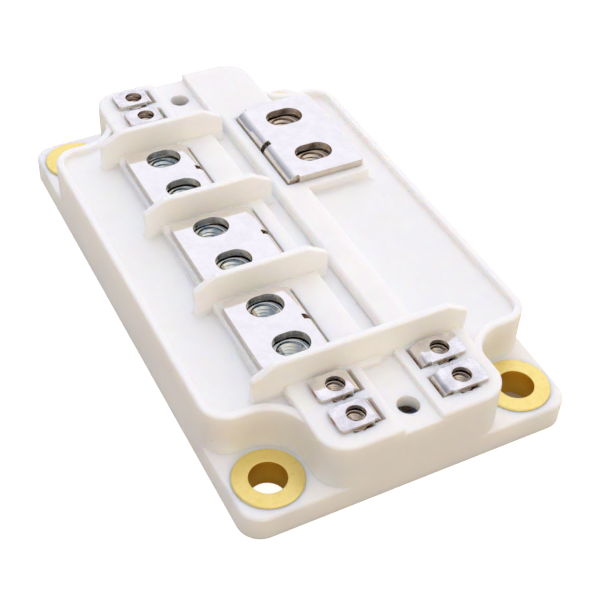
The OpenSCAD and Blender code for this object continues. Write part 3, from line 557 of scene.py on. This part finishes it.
# %% One bushing
BUSH_R, WAIST_R, BUSH_H = 6.05 * MM, 5.45 * MM, 5.55 * MM
CUTS = (1.56 * MM, 1.86 * MM, 3.38 * MM, 3.68 * MM)
WAIST = (1.8 * MM, 3.5 * MM)  # heights that take in the two middle cuts
AXIS = Vector((HOLE_X, HOLE_Y, 0))


def off_axis(vert):
    """How far a point of the bushing is from its axis."""
    return (vert.co - AXIS).xy.length


def on_skin(item):
    """True for a face or an edge on the outside of the bushing."""
    return min(off_axis(v) for v in item.verts) > BUSH_R - NEAR


bpy.ops.object.select_all(action="DESELECT")
bpy.ops.mesh.primitive_cylinder_add(vertices=96, radius=BUSH_R, depth=BUSH_H,
                                    location=AXIS + Vector((0, 0, BUSH_H / 2)))
bushing = bpy.context.object
bpy.ops.object.transform_apply(location=True, rotation=True, scale=True)
bpy.ops.object.mode_set(mode="EDIT")
pick(bushing, faces=lambda f: abs(f.normal.z) > 0.9)
bpy.ops.mesh.inset(thickness=BUSH_R - BORE_R, depth=0)
bpy.ops.mesh.bridge_edge_loops()
for height in CUTS:
    pick(bushing, faces=on_skin)
    bpy.ops.mesh.bisect(plane_co=(0, 0, height), plane_no=(0, 0, 1))
pick(bushing, edges=lambda e: on_skin(e) and all(within(v.co.z, WAIST) for v in e.verts))
bpy.ops.transform.resize(value=(WAIST_R / BUSH_R, WAIST_R / BUSH_R, 1), center_override=AXIS)
pick(bushing, edges=lambda e: level(e, BUSH_H) and on_skin(e))
bpy.ops.mesh.bevel(offset=0.25 * MM, segments=3)
pick(bushing, edges=lambda e: level(e, BUSH_H) and max(off_axis(v) for v in e.verts) < BORE_R + NEAR)
bpy.ops.mesh.bevel(offset=0.18 * MM, segments=2)
bpy.ops.mesh.select_all(action="SELECT")
bpy.ops.mesh.normals_make_consistent(inside=False)
bpy.ops.object.mode_set(mode="OBJECT")
bpy.ops.object.shade_smooth_by_angle(angle=math.radians(30))
bpy.ops.object.mode_set(mode="EDIT")
flats = pick(bushing, faces=lambda f: abs(f.normal.z) > 0.999)
bpy.ops.mesh.set_normals_from_faces(keep_sharp=True)
bpy.ops.object.mode_set(mode="OBJECT")
print("bushing faces:", len(bushing.data.polygons), "of which flat:", flats)

# %% [markdown]
# The four bushings are alike, so one is modelled and copied. Each copy gets a mesh of its own, and its place
# goes into that mesh, so that the finish finds the right axis.


# %% Four bushings
def copy_to(master, name, place):
    """A copy with its own mesh, moved to its place and left with its object at the origin."""
    piece = master.copy()
    piece.data = master.data.copy()
    piece.name = piece.data.name = name
    bpy.context.scene.collection.objects.link(piece)
    take(piece)
    piece.location = place
    bpy.ops.object.transform_apply(location=True, rotation=True, scale=True)
    return piece


for end, y in (("near", -HOLE_Y), ("far", HOLE_Y)):
    for side, x in (("left", -HOLE_X), ("right", HOLE_X)):
        tube = copy_to(bushing, "brass_tube_%s_%s" % (end, side), Vector((x, y, 0)) - AXIS)
        hand_in(tube, turned_brass, "brass", "bushing_%s_%s" % (end, side))
bpy.data.objects.remove(bushing)

# %% [markdown]
# ## Nuts with real threads
#
# Through the plates' holes the camera looks down into the nuts, so their threads have to be real. A nut
# starts as a turned blank with a bore at the thread's root, and is cut to six sides by a Boolean, which
# leaves the chamfered corners that real nuts have. The thread is a small triangle wound up the bore by a
# Screw modifier.


# %% The way to a blank
def six_sided_blank(across, height, root):
    """A nut without its thread, standing around the origin."""
    corner = across / math.sqrt(3)
    wide = corner * 1.01

    def at_an_end(edge):
        z = edge.verts[0].co.z
        return abs(abs(z) - height / 2) < 0.001 * MM and level(edge, z)

    bpy.ops.object.select_all(action="DESELECT")
    bpy.ops.mesh.primitive_cylinder_add(vertices=48, radius=wide, depth=height)
    blank = bpy.context.object
    bpy.ops.object.mode_set(mode="EDIT")
    pick(blank, faces=lambda f: abs(f.normal.z) > 0.9)
    bpy.ops.mesh.inset(thickness=wide - root, depth=0)
    bpy.ops.mesh.bridge_edge_loops()
    pick(blank, edges=lambda e: at_an_end(e) and min(v.co.xy.length for v in e.verts) > corner * 0.98)
    bpy.ops.mesh.bevel(offset=(corner - across / 2) * 0.9, segments=1)
    pick(blank, edges=lambda e: at_an_end(e) and max(v.co.xy.length for v in e.verts) < root * 1.03)
    bpy.ops.mesh.bevel(offset=0.12 * root, segments=2)
    bpy.ops.mesh.select_all(action="SELECT")
    bpy.ops.mesh.normals_make_consistent(inside=False)
    bpy.ops.object.mode_set(mode="OBJECT")
    bpy.ops.object.select_all(action="DESELECT")
    bpy.ops.mesh.primitive_cylinder_add(vertices=6, radius=corner, depth=height * 1.5)
    six_sides = bpy.context.object
    take(blank)
    trim = blank.modifiers.new("six sides", "BOOLEAN")
    trim.operation = "INTERSECT"
    trim.object = six_sides
    bpy.ops.object.modifier_apply(modifier="six sides")
    bpy.data.objects.remove(six_sides)
    print("blank faces:", len(blank.data.polygons))
    return blank


# %% [markdown]
# A tap cuts a groove, but here the ridge that it leaves is wound instead: its foot is sunk a little into the
# wall of the bore, so the two read as one piece.


# %% The way to a thread
def wound_thread(height, crest, root, pitch):
    """A ridge wound up the bore, with closed ends."""
    depth = root + 0.03 * MM - crest
    turns = int((height - pitch) / pitch)
    bpy.ops.object.select_all(action="DESELECT")
    bpy.ops.mesh.primitive_circle_add(vertices=3, radius=MM, fill_type="NOTHING",
                                      rotation=(math.radians(90), math.radians(-90), 0),
                                      location=(crest + depth * 2 / 3, 0, -turns * pitch / 2))
    ridge = bpy.context.object
    bpy.ops.object.transform_apply(location=False, rotation=True, scale=True)
    # A triangle in a circle of 1 mm radius is 1.5 mm high, and half its foot is 0.866 mm.
    ridge.scale = (depth / (1.5 * MM), 1, 0.46 * pitch / (0.866 * MM))
    bpy.ops.object.transform_apply(location=True, rotation=True, scale=True)
    wind = ridge.modifiers.new("thread", "SCREW")
    wind.axis = "Z"
    wind.angle = 2 * math.pi
    wind.screw_offset = pitch
    wind.iterations = turns
    wind.steps = wind.render_steps = 40
    bpy.ops.object.modifier_apply(modifier="thread")
    bpy.ops.object.mode_set(mode="EDIT")
    bpy.ops.mesh.select_all(action="SELECT")
    bpy.ops.mesh.fill_holes(sides=3)
    bpy.ops.mesh.select_all(action="SELECT")
    bpy.ops.mesh.normals_make_consistent(inside=False)
    bpy.ops.object.mode_set(mode="OBJECT")
    print("thread turns:", turns)
    return ridge


# %% [markdown]
# Eight M5 nuts take the screws of the busbars, and six M3 nuts those of the control leads. One nut of each
# set is modelled with the usual width and pitch for its thread, and then copied to its places.


# %% Fourteen nuts
def set_of_nuts(name, material, slot, node, places, across, height, crest, root, pitch):
    """Models one nut, copies it to its places and joins the copies into one piece."""
    blank = six_sided_blank(across, height, root)
    ridge = wound_thread(height, crest, root, pitch)
    take(blank, ridge)
    bpy.ops.object.join()
    bpy.ops.object.shade_smooth_by_angle(angle=math.radians(32))
    nuts = [copy_to(blank, name, place) for place in places]
    bpy.data.objects.remove(blank)
    take(*nuts)
    bpy.ops.object.join()
    hand_in(nuts[0], material, slot, node)


M5 = dict(across=8 * MM, height=4 * MM, crest=2.1 * MM, root=2.5 * MM, pitch=0.8 * MM)
M3 = dict(across=5.5 * MM, height=2.4 * MM, crest=1.25 * MM, root=1.5 * MM, pitch=0.5 * MM)
BAY_PAIRS = [(-12.1 * MM, bay, 12.4 * MM) for bay in BAYS]
PAD_PAIR = [(15.65 * MM, 21.9 * MM, 12.8 * MM)]
TAB_PAIRS = [(-9.45 * MM, -PAIR_Y, 13.2 * MM), (10.4 * MM, -PAIR_Y, 13.2 * MM),
             (-9.45 * MM, 45.4 * MM, 13.2 * MM)]
for name, material, slot, node, pairs, apart, sizes in (
        ("zinc_nuts", blue_zinc, "zinc_steel", "row_nuts", BAY_PAIRS, 10.05 * MM, M5),
        ("nickel_nuts", brown_nickel, "nickel_steel", "output_nuts", PAD_PAIR, 13.1 * MM, M5),
        ("small_nuts", brown_nickel, "nickel_steel", "control_nuts", TAB_PAIRS, 7 * MM, M3)):
    places = [(x, y + side * apart / 2, z) for x, y, z in pairs for side in (-1, 1)]
    set_of_nuts(name, material, slot, node, places, **sizes)

# %% [markdown]
# ## Stage, light and camera
#
# The portrait stands on white. A sheet of pale, warm paper keeps a soft shadow, and it glows for the camera
# and for mirrors only, so that metal shows the same white room. It doesn't glow under the module, where it is
# dark, apart from the paper that the camera sees down the left bores.

# %% Floor
bpy.ops.object.select_all(action="DESELECT")
bpy.ops.mesh.primitive_plane_add(size=6)
floor = bpy.context.object
floor.name = "studio_floor"
COVERED_X, COVERED_Y = HALF_W - 3 * MM, HALF_L - 3 * MM
paper, tree, shader, place = finish("pale_studio_paper")
fibre = add(tree, "ShaderNodeTexNoise", {"Vector": place, "Scale": 1 / (2 * MM)})
pulp = add(tree, "ShaderNodeValToRGB", {"Fac": fibre.outputs["Fac"]},
           stops=((0.3, "#B7AA99"), (0.7, "#BBAE9D")))
seen = add(tree, "ShaderNodeLightPath", {})
mirror = add(tree, "ShaderNodeMath", {0: seen.outputs["Is Glossy Ray"],
                                      1: seen.outputs["Is Transmission Ray"]}, operation="MAXIMUM")
across = add(tree, "ShaderNodeSeparateXYZ", {"Vector": place})
in_width = add(tree, "ShaderNodeMath", {0: across.outputs["X"], 1: 0.0, 2: COVERED_X}, operation="COMPARE")
in_length = add(tree, "ShaderNodeMath", {0: across.outputs["Y"], 1: 0.0, 2: COVERED_Y}, operation="COMPARE")
under = add(tree, "ShaderNodeMath", {0: in_width.outputs["Value"], 1: in_length.outputs["Value"]},
            operation="MULTIPLY")
clear = add(tree, "ShaderNodeMath", {0: 1.0, 1: under.outputs["Value"]}, operation="SUBTRACT")
mirror = add(tree, "ShaderNodeMath", {0: mirror.outputs["Value"], 1: clear.outputs["Value"]},
             operation="MULTIPLY")
left = add(tree, "ShaderNodeMath", {0: across.outputs["X"], 1: 0.0}, operation="LESS_THAN")
clear = add(tree, "ShaderNodeMath", {0: clear.outputs["Value"], 1: left.outputs["Value"]},
            operation="MAXIMUM")
direct = add(tree, "ShaderNodeMath", {0: seen.outputs["Is Camera Ray"], 1: clear.outputs["Value"]},
             operation="MULTIPLY")
either = add(tree, "ShaderNodeMath", {0: mirror.outputs["Value"], 1: direct.outputs["Value"]},
             operation="MAXIMUM")
glow = add(tree, "ShaderNodeMath", {0: either.outputs["Value"], 1: 0.85}, operation="MULTIPLY")
plug(tree, shader, {"Base Color": pulp.outputs["Color"], "Roughness": 0.9, "Specular IOR Level": 0.0,
                    "Emission Strength": glow.outputs["Value"], "Emission Color": (1, 1, 1, 1)})
floor.data.materials.append(paper)
print(floor.name)

# %% [markdown]
# The room is what metal mirrors, and it fills the shadows: warm where it is low and near, cool where it is
# high and far, dimmer on the left, with a bright window at the near left. A picture of a room could do this,
# but a few nodes that read the direction are enough. The camera itself sees plain white.

# %% Room
world = bpy.data.worlds.new("white_room")
bpy.context.scene.world = world
world.use_nodes = True
tree = world.node_tree
compass = add(tree, "ShaderNodeTexCoord", {}).outputs["Generated"]
rise = add(tree, "ShaderNodeVectorMath", {0: compass, 1: (0, 0.6, 0.6)}, operation="DOT_PRODUCT")
rise = add(tree, "ShaderNodeMath", {0: rise.outputs["Value"], 1: 0.35}, operation="ADD")
warmth = add(tree, "ShaderNodeValToRGB", {"Fac": rise.outputs["Value"]},
             stops=((0.0, "#D6C2A8"), (1.0, "#F8F7FF"), (0.5, "#F5EEE5")))
aside = add(tree, "ShaderNodeSeparateXYZ", {"Vector": compass})
shade = add(tree, "ShaderNodeMapRange", {"Value": aside.outputs["X"], "From Min": -0.6, "From Max": 0.1,
                                         "To Min": 0.75, "To Max": 0.0})
walls = add(tree, "ShaderNodeMix", {0: shade.outputs["Result"], 6: warmth.outputs["Color"],
                                    7: colour("#707886")}, data_type="RGBA")
near_left = add(tree, "ShaderNodeVectorMath", {0: compass, 1: (-0.66, -0.72, 0.2)}, operation="DOT_PRODUCT")
window = add(tree, "ShaderNodeMapRange", {"Value": near_left.outputs["Value"], "From Min": 0.7,
                                          "From Max": 0.95, "To Min": 0.0, "To Max": 0.88})
walls = add(tree, "ShaderNodeMix", {0: window.outputs["Result"], 6: walls.outputs[2],
                                    7: colour("#FFF1DE")}, data_type="RGBA")
room = tree.nodes["Background"]
plug(tree, room, {"Color": walls.outputs[2], "Strength": 1.15})
bright = add(tree, "ShaderNodeBackground", {"Color": walls.outputs[2], "Strength": 1.1})
white = add(tree, "ShaderNodeBackground", {"Color": (1, 1, 1, 1), "Strength": 1.0})
seen = add(tree, "ShaderNodeLightPath", {})
mirror = add(tree, "ShaderNodeMath", {0: seen.outputs["Is Glossy Ray"],
                                      1: seen.outputs["Is Transmission Ray"]}, operation="MAXIMUM")
both = add(tree, "ShaderNodeMixShader", {0: mirror.outputs["Value"], 1: room.outputs["Background"],
                                         2: bright.outputs["Background"]})
backdrop = add(tree, "ShaderNodeMixShader", {0: seen.outputs["Is Camera Ray"], 1: both.outputs["Shader"],
                                             2: white.outputs["Background"]})
plug(tree, tree.nodes["World Output"], {"Surface": backdrop.outputs["Shader"]})
print(world.name)

# %% [markdown]
# One large, cool lamp hangs above the far side and shapes the ribs with soft shade, as daylight over a bench
# would. A lamp also shows in mirrors, where it would add up with the room, so it is hidden from them.

# %% Lamp
OVERHEAD = Vector((-0.1, 0.25, 0.8))
bpy.ops.object.select_all(action="DESELECT")
bpy.ops.object.light_add(type="AREA", location=OVERHEAD)
lamp = bpy.context.object
lamp.name = "overhead"
lamp.data.shape = "DISK"
lamp.data.size = 0.9
lamp.data.energy = 1.5
lamp.data.color = colour("#E8EAFF")[:3]
lamp.visible_glossy = False
lamp.rotation_euler = (-OVERHEAD).to_track_quat("-Z", "Y").to_euler()
print(lamp.name, "watts:", lamp.data.energy)

# %% [markdown]
# The camera looks down at about 43 degrees from the near left corner. Its place, turn and lens come from
# lining up the straight edges and round holes of the module with the photograph.

# %% Camera
STAND = Vector((-79.11, -154.0, 158.28)) * MM
yaw, pitch, roll = math.radians(28.888), math.radians(43.210), math.radians(2.885)
ahead = Vector((math.sin(yaw) * math.cos(pitch), math.cos(yaw) * math.cos(pitch), -math.sin(pitch)))
across = Vector((math.cos(yaw), -math.sin(yaw), 0))
above = across.cross(ahead)
right = math.cos(roll) * across + math.sin(roll) * above
up = math.cos(roll) * above - math.sin(roll) * across
camera = bpy.data.objects.new("camera", bpy.data.cameras.new("camera"))
bpy.context.scene.collection.objects.link(camera)
camera.data.sensor_width = 36
camera.data.lens = 72.02
camera.data.clip_start = 0.01
turn = Matrix((right, up, -ahead)).transposed().to_4x4()
camera.matrix_world = Matrix.Translation(STAND) @ turn
bpy.context.scene.camera = camera
bpy.context.scene.view_settings.view_transform = "Standard"
print("camera", [round(v, 4) for v in camera.location])
